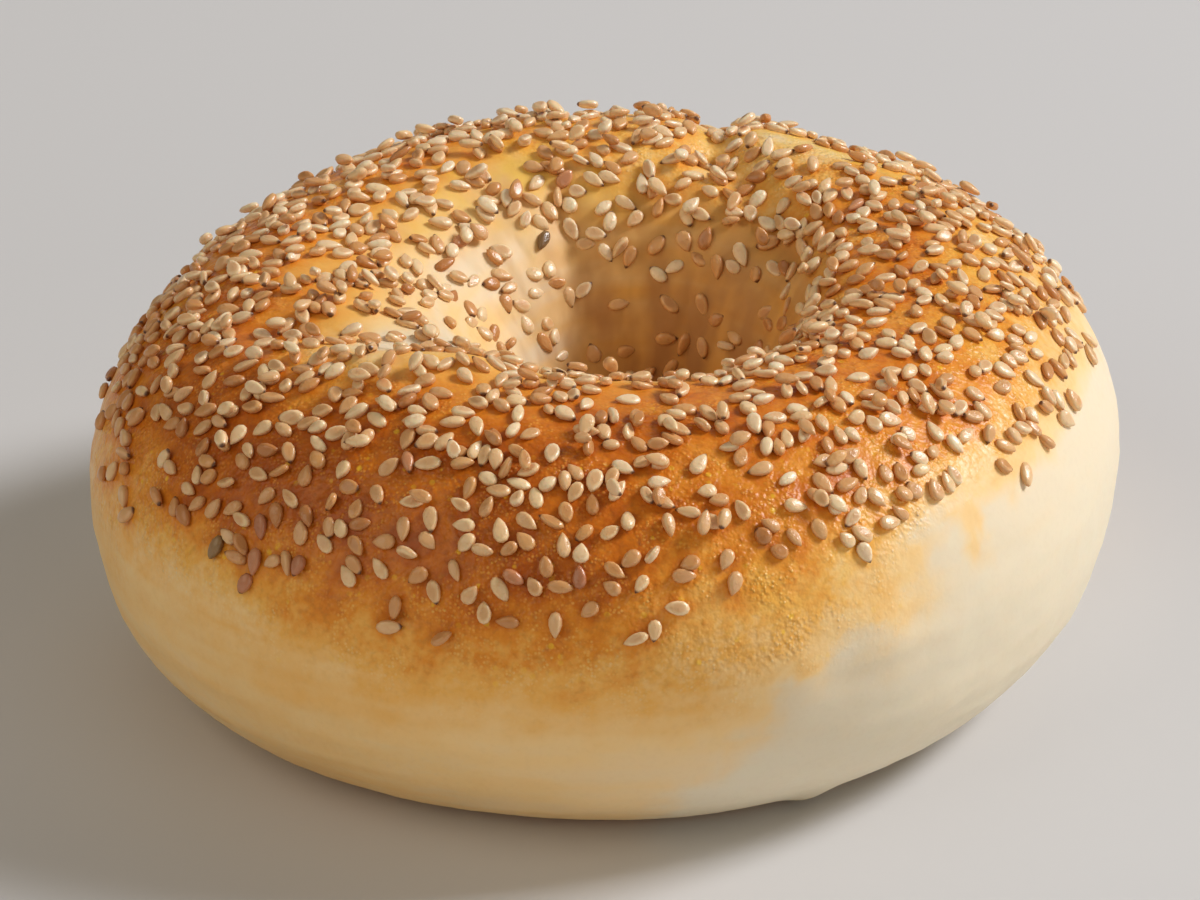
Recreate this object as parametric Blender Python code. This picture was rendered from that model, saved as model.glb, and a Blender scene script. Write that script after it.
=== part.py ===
"""Sesame bagel: one plump, hand-formed ring of baked dough with sesame seeds stuck to its crust.

The ring is a torus whose section is redrawn round the hole by a few named sizes. Angles round the
hole start at +X and run towards +Y. A section's turn is 0 at the widest point of the outer side,
90 degrees on the crest, 180 at the throat of the hole and 270 on the foot. Metres, +Z up.
"""

from math import atan2, cos, exp, hypot, pi, radians, sin, sqrt
from random import Random
from typing import NamedTuple

import bmesh
import bpy
from mathutils import Matrix, Vector

# Driving dimensions of the ring
OUTER_RADIUS = 0.0590
CREST_RADIUS = 0.0345
CREST_HEIGHT = 0.0462
WIDEST_HEIGHT = 0.0226
FOOT_CUT = 0.0010

# The hole, which flares more on its left side than on its right
THROAT_RADIUS = 0.0135
THROAT_SHIFT = 0.0040
THROAT_HEIGHT = 0.0190

# How full each quarter of the section is: 2 is an ellipse, more is squarer
OUTER_TOP = (1.90, 1.97)
OUTER_FOOT = (2.36, 2.30)
INNER_TOP_LEFT = (2.00, 2.20)
INNER_TOP_RIGHT = (2.80, 2.20)
INNER_FOOT = (2.30, 2.20)

# How far the hand-rolled ring is from round: (waves round the hole, cosine part, sine part)
OUTLINE_WAVES = ((2, -0.00006, 0.00175), (3, 0.00006, -0.00025), (4, -0.00013, 0.00058))
CREST_WAVES = ((1, -0.00059, -0.00048),)
HEIGHT_WAVES = ((1, -0.00012, 0.00002), (2, -0.00043, 0.00042))
LUMP_WAVES = ((3, 2, 0.00035), (5, 3, 0.00022), (8, 4, 0.00014))

# Facets round the hole and round the section
RING_FACETS = 72
SECTION_FACETS = 30

# Sesame seeds
SEED_COUNT = 160
SEED_LENGTH = 0.0031
SEED_WIDTH = 0.0021
SEED_THICKNESS = 0.0013
SEED_SPREAD = 0.08
SEED_SUNK = 0.00055
SEED_SIDES = 5
SEED_RINGS = 4
SEED_TAPER = 0.42
SEED_JITTER = 0.0011
SEED_RANDOM = 7

# Where the seeds end: a height on the outer side that rises at the front right, and one in the hole
SEED_LINE = 0.0325
SEED_LINE_RISE = 0.0025
SEED_LINE_PEAK = radians(320.0)
HOLE_SEED_LINE = 0.0385

GOLDEN_ANGLE = pi * (3.0 - sqrt(5.0))
BAND_STEPS = 240


class Stroke(NamedTuple):
    """A soft ridge or groove in the crust, along a line seen from above."""

    start: tuple
    end: tuple
    half_width: float
    rise: float


# The seam where the roll's two ends were pressed together, with the bare swelling beside it
SEAM = (
    Stroke((0.0150, 0.0560), (0.0122, 0.0320), 0.0034, -0.0016),
    Stroke((0.0122, 0.0320), (0.0200, 0.0120), 0.0034, -0.0019),
    Stroke((0.0180, 0.0330), (0.0290, 0.0250), 0.0056, 0.0012),
)

# The fold that runs from the left of the crest into the hole
FOLD = (
    Stroke((-0.0380, -0.0140), (-0.0190, -0.0185), 0.0034, -0.0014),
    Stroke((-0.0270, -0.0258), (-0.0150, -0.0262), 0.0026, 0.0011),
)

# A crease down the back of the hole
HOLE_CREASE = (Stroke((-0.0060, 0.0230), (-0.0030, 0.0120), 0.0026, -0.0011),)

CRUST_COLOUR = (0.484, 0.221, 0.075, 1.0)
SEED_COLOUR = (0.610, 0.418, 0.230, 1.0)


def clear_scene():
    """Remove every object of the opening scene."""
    for item in list(bpy.data.objects):
        bpy.data.objects.remove(item, do_unlink=True)


def waves(angle, terms):
    """Sum of the cosine and sine waves in terms at an angle round the hole."""
    return sum(c * cos(order * angle) + s * sin(order * angle) for order, c, s in terms)


def blend(low, high, share):
    """Pair of values between two pairs."""
    return tuple(a + (b - a) * share for a, b in zip(low, high))


def section_point(angle, turn):
    """Point of the smooth ring, without creases."""
    outside, upper = cos(turn) >= 0.0, sin(turn) >= 0.0
    crest = CREST_RADIUS + waves(angle, CREST_WAVES)
    top = CREST_HEIGHT + waves(angle, HEIGHT_WAVES)
    if outside:
        reach = OUTER_RADIUS + waves(angle, OUTLINE_WAVES) - crest
        middle = WIDEST_HEIGHT
        fullness = OUTER_TOP if upper else OUTER_FOOT
    else:
        reach = crest - THROAT_RADIUS - THROAT_SHIFT * cos(angle)
        middle = THROAT_HEIGHT
        right_share = 0.5 + 0.5 * cos(angle)
        fullness = blend(INNER_TOP_LEFT, INNER_TOP_RIGHT, right_share) if upper else INNER_FOOT
    across = abs(cos(turn)) ** (2.0 / fullness[0])
    along = abs(sin(turn)) ** (2.0 / fullness[1])
    radius = crest + (reach if outside else -reach) * across
    height = middle + ((top - middle) if upper else -(middle + FOOT_CUT)) * along
    return Vector((radius * cos(angle), radius * sin(angle), max(height, 0.0)))


def stroke_rise(point, stroke):
    """Height that a stroke adds at a point, by its distance from the stroke's line."""
    line = (stroke.end[0] - stroke.start[0], stroke.end[1] - stroke.start[1])
    offset = (point.x - stroke.start[0], point.y - stroke.start[1])
    share = (offset[0] * line[0] + offset[1] * line[1]) / (line[0] ** 2 + line[1] ** 2)
    share = min(max(share, 0.0), 1.0)
    away = hypot(offset[0] - share * line[0], offset[1] - share * line[1])
    return stroke.rise * exp(-((away / stroke.half_width) ** 2))


def relief(point, angle, turn):
    """How far the crust stands out from the smooth ring: creases on the top, lumps all over."""
    upper = min(max(sin(turn) * 2.5, 0.0), 1.0)
    creases = sum(stroke_rise(point, stroke) for stroke in SEAM + FOLD + HOLE_CREASE)
    lumps = sum(size * sin(around * angle + across) * cos(across * turn + around)
                for around, across, size in LUMP_WAVES)
    off_foot = min(point.z / WIDEST_HEIGHT, 1.0)
    return creases * upper + lumps * off_foot


def surface(angle, turn):
    """Point of the crust and its outward normal."""
    step = 0.002
    here = section_point(angle, turn)
    round_hole = section_point(angle + step, turn) - section_point(angle - step, turn)
    round_section = section_point(angle, turn + step) - section_point(angle, turn - step)
    normal = round_hole.cross(round_section).normalized()
    return here + normal * relief(here, angle, turn), normal


def add_material(item, name, colour, roughness):
    """Give an object its own material."""
    material = bpy.data.materials.new(name)
    material.use_nodes = True
    shader = material.node_tree.nodes["Principled BSDF"]
    shader.inputs["Base Color"].default_value = colour
    shader.inputs["Roughness"].default_value = roughness
    shader.inputs["Metallic"].default_value = 0.0
    item.data.materials.append(material)
    return material


def make_dough(collection):
    """The ring: a torus whose points are moved onto the crust."""
    bpy.ops.mesh.primitive_torus_add(
        major_segments=RING_FACETS,
        minor_segments=SECTION_FACETS,
        major_radius=CREST_RADIUS,
        minor_radius=CREST_HEIGHT / 2.0,
    )
    dough = bpy.context.active_object
    dough.name = "bagel"
    dough.data.name = "bagel"
    for vertex in dough.data.vertices:
        x, y, z = vertex.co
        angle = atan2(y, x)
        turn = atan2(z, hypot(x, y) - CREST_RADIUS)
        point, _ = surface(angle, turn)
        if section_point(angle, turn).z <= 0.0:
            point.z = 0.0
        vertex.co = point
    for owner in list(dough.users_collection):
        owner.objects.unlink(dough)
    collection.objects.link(dough)
    add_material(dough, "Baked crust", CRUST_COLOUR, 0.45)
    return dough


def make_seed_mesh():
    """One hulled seed: a flat drop, blunt at one end and pointed at the other."""
    shape = bmesh.new()
    bmesh.ops.create_uvsphere(shape, u_segments=SEED_SIDES, v_segments=SEED_RINGS, radius=0.5)
    for vertex in shape.verts:
        along = vertex.co.z * 2.0
        width = 1.0 - SEED_TAPER * max(along, 0.0)
        vertex.co = Vector((along * SEED_LENGTH / 2.0,
                            vertex.co.x * SEED_WIDTH * width,
                            vertex.co.y * SEED_THICKNESS * width))
    bmesh.ops.recalc_face_normals(shape, faces=shape.faces)
    mesh = bpy.data.meshes.new("sesame seed")
    shape.to_mesh(mesh)
    shape.free()
    return mesh


def seed_line(angle):
    """Height on the outer side below which no seed lies."""
    return SEED_LINE + SEED_LINE_RISE * cos(angle - SEED_LINE_PEAK)


def is_seeded(angle, turn):
    """Whether a place on the crust carries seeds."""
    height = section_point(angle, turn).z
    return height > (seed_line(angle) if cos(turn) > 0.0 else HOLE_SEED_LINE)


def band_of_turns():
    """Turns over the top of the section, each with the share of the crust's area up to it."""
    turns = [pi * step / BAND_STEPS for step in range(BAND_STEPS + 1)]
    points = [section_point(pi / 2.0, turn) for turn in turns]
    area, total = [0.0], 0.0
    for before, after in zip(points, points[1:]):
        total += (after - before).length * hypot(after.x, after.y)
        area.append(total)
    return turns, [value / total for value in area]


def turn_at(share, turns, area):
    """Turn that has this share of the crust's area before it."""
    for index in range(1, len(area)):
        if area[index] >= share:
            part = (share - area[index - 1]) / (area[index] - area[index - 1])
            return turns[index - 1] + part * (turns[index] - turns[index - 1])
    return turns[-1]


def seed_places():
    """Evenly spread places for the seeds, as (angle, turn), by a golden-angle spiral over the top."""
    turns, area = band_of_turns()
    tries = SEED_COUNT
    places = []
    while len(places) < SEED_COUNT:
        spiral = [(index * GOLDEN_ANGLE, turn_at((index + 0.5) / tries, turns, area))
                  for index in range(tries)]
        places = [(angle, turn) for angle, turn in spiral if is_seeded(angle, turn)]
        tries += 4
    return places[:SEED_COUNT]


def make_seeds(collection, dough):
    """The larger seeds, each lying flat on the ring's facets and sunk a little into them."""
    mesh = make_seed_mesh()
    draw = Random(SEED_RANDOM)
    for number, (angle, turn) in enumerate(seed_places()):
        angle += draw.uniform(-SEED_JITTER, SEED_JITTER) / CREST_RADIUS
        turn += draw.uniform(-SEED_JITTER, SEED_JITTER) / CREST_RADIUS
        point, normal = surface(angle, turn)
        _, point, _, _ = dough.closest_point_on_mesh(point)
        flat = normal.to_track_quat("Z", "Y").to_matrix().to_4x4()
        spin = Matrix.Rotation(draw.uniform(0.0, 2.0 * pi), 4, "Z")
        size = Matrix.Scale(1.0 + draw.uniform(-SEED_SPREAD, SEED_SPREAD), 4)
        lift = normal * (SEED_THICKNESS / 2.0 - SEED_SUNK)
        seed = bpy.data.objects.new("seed_%03d" % number, mesh.copy())
        seed.data.transform(Matrix.Translation(point + lift) @ flat @ spin @ size)
        seed.hide_render = True
        seed.display_type = "WIRE"
        collection.objects.link(seed)
    first = collection.objects[0]
    material = add_material(first, "Sesame seed", SEED_COLOUR, 0.40)
    for seed in collection.objects:
        if seed is not first:
            seed.data.materials.append(material)


def fuse(dough, seeds):
    """Make the ring and its seeds one solid, and remove the loose seeds."""
    union = dough.modifiers.new("Seeds", "BOOLEAN")
    union.operation = "UNION"
    union.operand_type = "COLLECTION"
    union.collection = seeds
    union.solver = "EXACT"
    union.material_mode = "TRANSFER"
    bpy.context.view_layer.update()
    graph = bpy.context.evaluated_depsgraph_get()
    fused = bpy.data.meshes.new_from_object(dough.evaluated_get(graph))
    dough.modifiers.remove(union)
    dough.data = fused
    for seed in list(seeds.objects):
        bpy.data.objects.remove(seed, do_unlink=True)
    bpy.data.collections.remove(seeds)


def centre_over_origin(item):
    """Put the middle of the solid's box over the origin."""
    xs = [vertex.co.x for vertex in item.data.vertices]
    ys = [vertex.co.y for vertex in item.data.vertices]
    middle = Vector(((min(xs) + max(xs)) / 2.0, (min(ys) + max(ys)) / 2.0, 0.0))
    item.data.transform(Matrix.Translation(-middle))


def main():
    clear_scene()
    parts = bpy.data.collections.new("sesame_bagel")
    seeds = bpy.data.collections.new("sesame_bagel_seeds")
    bpy.context.scene.collection.children.link(parts)
    bpy.context.scene.collection.children.link(seeds)
    dough = make_dough(parts)
    make_seeds(seeds, dough)
    fuse(dough, seeds)
    centre_over_origin(dough)
    dough.data.shade_smooth()
    dough.data.set_sharp_from_angle(angle=radians(40.0))


main()
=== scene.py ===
"""Looks of a sesame bagel: its baked ring and its seeds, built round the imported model.

Lengths are in metres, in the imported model's frame: +Z is up through the hole and the camera looks
from -Y. An angle round the hole starts at +X and runs towards +Y. A section's turn is 0 at the
widest point of the outer side, a quarter turn on the crest, a half turn at the throat of the hole.
"""

import logging
from collections.abc import Iterator
from dataclasses import dataclass, field
from enum import Enum
from math import atan2, cos, hypot, pi, radians, sin, tau

import bpy
import numpy as np
from bpy.types import Material, Mesh, Node, NodeSocket, NodeTree, Object, bpy_prop_collection
from mathutils import Euler, Matrix, Vector
from mathutils.kdtree import KDTree


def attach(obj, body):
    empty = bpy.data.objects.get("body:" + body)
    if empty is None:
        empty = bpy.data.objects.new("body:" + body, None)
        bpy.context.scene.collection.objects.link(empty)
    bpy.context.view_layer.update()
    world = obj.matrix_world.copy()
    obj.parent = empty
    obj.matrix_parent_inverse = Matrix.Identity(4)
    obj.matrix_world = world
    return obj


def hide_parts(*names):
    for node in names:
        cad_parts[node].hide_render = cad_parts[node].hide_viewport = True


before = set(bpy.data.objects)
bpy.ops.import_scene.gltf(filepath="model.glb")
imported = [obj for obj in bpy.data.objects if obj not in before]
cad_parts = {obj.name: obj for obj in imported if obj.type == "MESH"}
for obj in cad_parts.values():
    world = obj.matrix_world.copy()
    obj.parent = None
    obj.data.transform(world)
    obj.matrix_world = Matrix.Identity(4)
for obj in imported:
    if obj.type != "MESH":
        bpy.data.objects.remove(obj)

LOG = logging.getLogger("bagel")
BODY = "root"
NODE = "bagel"
MM = 0.001
Pair = tuple[float, float]
Triple = tuple[float, float, float]


# Node trees

class Field:
    """A value that varies over a surface: one output of a node, ready for formulas."""

    def __init__(self, socket: NodeSocket) -> None:
        """Hold the output and the tree that it belongs to."""
        self.socket = socket
        self.tree = socket.id_data

    def maths(self, operation: str, *others: "Field | float") -> "Field":
        """Run a Math node on this value and the others in order."""
        return maths(operation, self, *others)

    def __add__(self, other: "Field | float") -> "Field":
        """Sum."""
        return self.maths("ADD", other)

    __radd__ = __add__

    def __sub__(self, other: "Field | float") -> "Field":
        """Difference."""
        return self.maths("SUBTRACT", other)

    def __rsub__(self, other: float) -> "Field":
        """Difference from a number."""
        return maths("SUBTRACT", other, self)

    def __mul__(self, other: "Field | float") -> "Field":
        """Product."""
        return self.maths("MULTIPLY", other)

    def __truediv__(self, other: "Field | float") -> "Field":
        """Quotient."""
        return self.maths("DIVIDE", other)

    def __rtruediv__(self, other: float) -> "Field":
        """A number divided by this value."""
        return maths("DIVIDE", other, self)

    def even(self, value: float) -> "Field":
        """The same number everywhere."""
        return self * 0.0 + value

    def xyz(self) -> "tuple[Field, ...]":
        """Split a vector into its three parts."""
        node = place_node(self.tree, "ShaderNodeSeparateXYZ", {0: self})
        return tuple(Field(socket) for socket in node.outputs)

    def clamp(self, low: float = 0.0, high: float = 1.0) -> "Field":
        """Keep the value between two numbers."""
        return self.maths("MAXIMUM", low).maths("MINIMUM", high)

    def rise(self, low: "Field | float", high: "Field | float") -> "Field":
        """Go smoothly from 0 at low to 1 at high; low may be the larger one."""
        node = place_node(self.tree, "ShaderNodeMapRange", {"Value": self, "From Min": low, "From Max": high},
                          interpolation_type="SMOOTHSTEP")
        return Field(node.outputs["Result"])

    def climb(self, low: float, high: float) -> "Field":
        """Go smoothly from 0 at one angle to 1 at another, both in degrees."""
        return self.rise(radians(low), radians(high))

    def facing(self, middle: float) -> "Field":
        """Cosine of this angle's distance from one given in degrees."""
        return (self - radians(middle)).maths("COSINE")

    def towards(self, other: "Field | float", share: "Field | float") -> "Field":
        """Move from this value to another one by a share."""
        return self + (other - self) * share

    def tinted(self, tint: tuple, share: "Field") -> "Field":
        """Mix this colour with another one by a share."""
        node = place_node(self.tree, "ShaderNodeMix", {0: share, 6: self, 7: tint}, data_type="RGBA")
        return Field(node.outputs[2])


def feed(node: Node, inputs: dict[int | str, object]) -> None:
    """Link or set inputs of a node.

    Args:
        node: the node.
        inputs: a Field, number, vector, colour or material for each input, by its name or place.
    """
    for name, value in inputs.items():
        if isinstance(value, Field):
            node.id_data.links.new(value.socket, node.inputs[name])
        else:
            node.inputs[name].default_value = value


def place_node(tree: NodeTree, kind: str, inputs: dict | None = None, **settings: object) -> Node:
    """Place any node.

    Args:
        tree: the tree to build in.
        kind: the node's type name.
        inputs: values for its inputs, by name or place.
        settings: the node's own properties.

    Returns:
        The new node.
    """
    node = tree.nodes.new(kind)
    for name, value in settings.items():
        setattr(node, name, value)
    feed(node, inputs or {})
    return node


def maths(operation: str, *values: Field | float) -> Field:
    """Run a Math node.

    Args:
        operation: the node's operation.
        values: its inputs in order, of which one or more are fields.

    Returns:
        The node's result.
    """
    tree = next(value.tree for value in values if isinstance(value, Field))
    node = place_node(tree, "ShaderNodeMath", dict(enumerate(values)), operation=operation)
    return Field(node.outputs[0])


class Sheet:
    """A node tree under construction."""

    def __init__(self, tree: NodeTree) -> None:
        """Take the tree to build in."""
        self.tree = tree

    def value(self, kind: str, inputs: dict | None = None, output: int | str = 0,
              **settings: object) -> Field:
        """Place a node and take one of its outputs."""
        return Field(place_node(self.tree, kind, inputs, **settings).outputs[output])

    def noise(self, where: Field, scale: Field | float, detail: float = 2.0, roughness: float = 0.5,
              output: int = 0) -> Field:
        """Cloudy noise around 0.5, scale clouds to a metre; output 1 is three of them as a vector."""
        inputs = {"Vector": where, "Scale": scale, "Detail": detail, "Roughness": roughness}
        return self.value("ShaderNodeTexNoise", inputs, output)

    def clouds(self, where: Field, scale: float, detail: float, roughness: float) -> list[Field]:
        """Three separate cloudy noises, each from about -0.5 to 0.5."""
        return [part - 0.5 for part in self.noise(where, scale, detail, roughness, 1).xyz()]

    def grains(self, where: Field, scale: float) -> tuple[Field, Field]:
        """Round grains.

        Args:
            where: the coordinates to read them at.
            scale: how many grains to a metre.

        Returns:
            1 in the middle of each grain falling to 0 round it, and a share drawn for each grain.
        """
        node = place_node(self.tree, "ShaderNodeTexVoronoi", {"Vector": where, "Scale": scale})
        drawn = Field(node.outputs["Color"]).xyz()[0]
        return (1.0 - Field(node.outputs["Distance"]) * 1.7).clamp(), drawn

    def stretched(self, where: Field, across: float, up: float) -> Field:
        """Scale coordinates by one number across and another upwards."""
        return self.value("ShaderNodeVectorMath", {0: where, 1: (across, across, up)}, operation="MULTIPLY")

    def scaled(self, vector: Field, factor: Field) -> Field:
        """Scale a vector by a value."""
        return self.value("ShaderNodeVectorMath", {0: vector, "Scale": factor}, operation="SCALE")

    def attribute(self, name: str) -> Field:
        """Read one of a mesh's own attributes in a material."""
        return self.value("ShaderNodeAttribute", output="Fac", attribute_name=name)

    def relief(self, height: Field, strength: float, depth: float) -> Field:
        """Turn a height into a normal."""
        return self.value("ShaderNodeBump", {"Height": height, "Strength": strength, "Distance": depth})

    def ramp(self, share: Field, *stops: tuple[float, tuple]) -> Field:
        """Colour along a ramp.

        Args:
            share: the place on the ramp, 0 to 1.
            stops: (place, colour) of each stop.

        Returns:
            The colour.
        """
        node = place_node(self.tree, "ShaderNodeValToRGB", {0: share})
        while len(node.color_ramp.elements) < len(stops):
            node.color_ramp.elements.new(0.5)
        for element, (place, colour) in zip(node.color_ramp.elements, stops):
            element.position = place
            element.color = colour
        return Field(node.outputs[0])


class Group(Sheet):
    """A node group under construction, with named inputs and outputs."""

    def __init__(self, name: str, kind: str) -> None:
        """Start a group.

        Args:
            name: the group's name.
            kind: GeometryNodeTree or ShaderNodeTree.
        """
        super().__init__(bpy.data.node_groups.new(name, kind))
        self.inlet = self.tree.nodes.new("NodeGroupInput")
        self.outlet = self.tree.nodes.new("NodeGroupOutput")

    def entry(self, name: str, kind: str, value: object = None) -> Field:
        """Add a named input.

        Args:
            name: the input's name.
            kind: its type, such as Float.
            value: its first value.

        Returns:
            The input as a field.
        """
        socket = self.tree.interface.new_socket(name=name, in_out="INPUT", socket_type="NodeSocket" + kind)
        if value is not None:
            socket.default_value = value
        return Field(self.inlet.outputs[name])

    def exit(self, name: str, kind: str, value: Field) -> None:
        """Add a named output and link it."""
        self.tree.interface.new_socket(name=name, in_out="OUTPUT", socket_type="NodeSocket" + kind)
        self.tree.links.new(value.socket, self.outlet.inputs[name])

    def named(self, name: str, kind: str = "FLOAT") -> Field:
        """Read one of a geometry's attributes."""
        return self.value("GeometryNodeInputNamedAttribute", {"Name": name}, data_type=kind)

    def store(self, geometry: Field, values: dict[str, Field | float]) -> Field:
        """Keep values on a geometry's points as attributes.

        Args:
            geometry: the geometry.
            values: each attribute's value by its name.

        Returns:
            The geometry with its attributes.
        """
        for name, value in values.items():
            inputs = {"Geometry": geometry, "Name": name, "Value": value}
            geometry = self.value("GeometryNodeStoreNamedAttribute", inputs)
        return geometry

    def finish(self, geometry: Field, material: Field) -> NodeTree:
        """Make instances real, set the material and hand out the geometry.

        Args:
            geometry: the geometry.
            material: its material.

        Returns:
            The finished group.
        """
        real = self.value("GeometryNodeRealizeInstances", {0: geometry})
        dressed = self.value("GeometryNodeSetMaterial", {"Geometry": real, "Material": material})
        self.exit("Geometry", "Geometry", dressed)
        return self.tree


def grow(name: str, start: Mesh, group: NodeTree, values: dict[str, object]) -> Object:
    """Make an object by running a Geometry Nodes group on a mesh.

    Args:
        name: the object's name.
        start: the mesh that the group begins with.
        group: the group.
        values: the group's input values by their names.

    Returns:
        The object with a plain mesh and no modifier.
    """
    item = bpy.data.objects.new(name, start)
    bpy.context.scene.collection.objects.link(item)
    modifier = item.modifiers.new("Growth", "NODES")
    modifier.node_group = group
    for socket in group.interface.items_tree:
        if socket.item_type == "SOCKET" and socket.in_out == "INPUT" and socket.name in values:
            modifier[socket.identifier] = values[socket.name]
    bpy.context.view_layer.update()
    graph = bpy.context.evaluated_depsgraph_get()
    mesh = bpy.data.meshes.new_from_object(item.evaluated_get(graph))
    item.modifiers.clear()
    item.data = mesh
    mesh.name = name
    return item


def column(data: bpy_prop_collection, entry: str, width: int = 1, kind: type = np.float64) -> np.ndarray:
    """Read one entry of all of a mesh's points, normals, triangles or attribute values.

    Args:
        data: the collection to read.
        entry: the entry's name.
        width: how many numbers the entry has.
        kind: the type of the numbers.

    Returns:
        One row for each item.
    """
    values = np.empty(len(data) * width, kind)
    data.foreach_get(entry, values)
    return values.reshape(-1, width)


def ramp(value: float, low: float, high: float) -> float:
    """Go smoothly from 0 at low to 1 at high."""
    share = min(max((value - low) / (high - low), 0.0), 1.0)
    return share * share * (3.0 - 2.0 * share)


# The ring of dough

@dataclass(frozen=True)
class Stroke:
    """A soft ridge or groove in the crust, along a line seen from above, in millimetres."""

    start: Pair
    end: Pair
    half_width: float
    rise: float

    def field(self, x: Field, y: Field) -> Field:
        """Height that the stroke adds at a place.

        Args:
            x: the place's x.
            y: the place's y.

        Returns:
            The added height in metres.
        """
        start_x, start_y, end_x, end_y = (value * MM for value in (*self.start, *self.end))
        along_x, along_y = end_x - start_x, end_y - start_y
        from_x, from_y = x - start_x, y - start_y
        share = ((from_x * along_x + from_y * along_y) / (along_x ** 2 + along_y ** 2)).clamp()
        off_x, off_y = from_x - share * along_x, from_y - share * along_y
        away = (off_x * off_x + off_y * off_y) / (self.half_width * MM) ** 2
        return (away * -1.0).maths("EXPONENT") * (self.rise * MM)


@dataclass(frozen=True)
class Patch:
    """A soft patch of the crust, by its angle round the hole and its turn round the section, in degrees."""

    angle: float
    turn: float
    wide: float
    tall: float
    weight: float

    def mask(self, angle: Field, turn: Field) -> Field:
        """The patch's weight at a place.

        Args:
            angle: the place's angle in radians.
            turn: its turn in radians.

        Returns:
            The weight in the middle of the patch, fading to 0 outside it.
        """
        off = (angle - radians(self.angle)).maths("WRAP", pi, -pi) / radians(self.wide)
        across = (turn - radians(self.turn)) / radians(self.tall)
        return ((off * off + across * across) * -1.0).maths("EXPONENT") * self.weight


BAKED_PATCHES = tuple(Patch(*values) for values in (
    (230, 36, 20, 10, 0.07), (240, 56, 26, 12, 0.08), (22, 88, 26, 12, 0.26),
    (300, 84, 44, 9, 0.13), (218, 98, 13, 21, -0.46), (312, 40, 16, 14, -0.16),
    (52, 80, 18, 13, -0.24), (74, 99, 16, 9, -0.16), (140, 58, 14, 12, 0.14),
    (100, 62, 26, 16, -0.15), (132, 86, 30, 8, 0.12), (190, 24, 20, 14, -0.08),
    (302, 17, 9, 11, 0.18), (305, 12, 3.5, 4, 0.10), (319, 26, 2.2, 9, 0.24),
    (259, 0, 24, 11, 0.15), (8, 54, 34, 18, -0.15), (284, 27, 12, 15, -0.26),
))
YELLOW_PATCHES = tuple(Patch(*values) for values in (
    (120, 108, 38, 16, 0.9), (54, 76, 22, 14, 0.9), (352, 72, 14, 10, 0.6),
    (292, 32, 9, 12, 0.6), (222, 20, 14, 8, 0.5), (283, 96, 8, 8, 0.5),
    (176, 40, 18, 18, 0.6), (110, 78, 34, 16, 0.5), (20, 60, 20, 18, 0.4),
))


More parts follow.
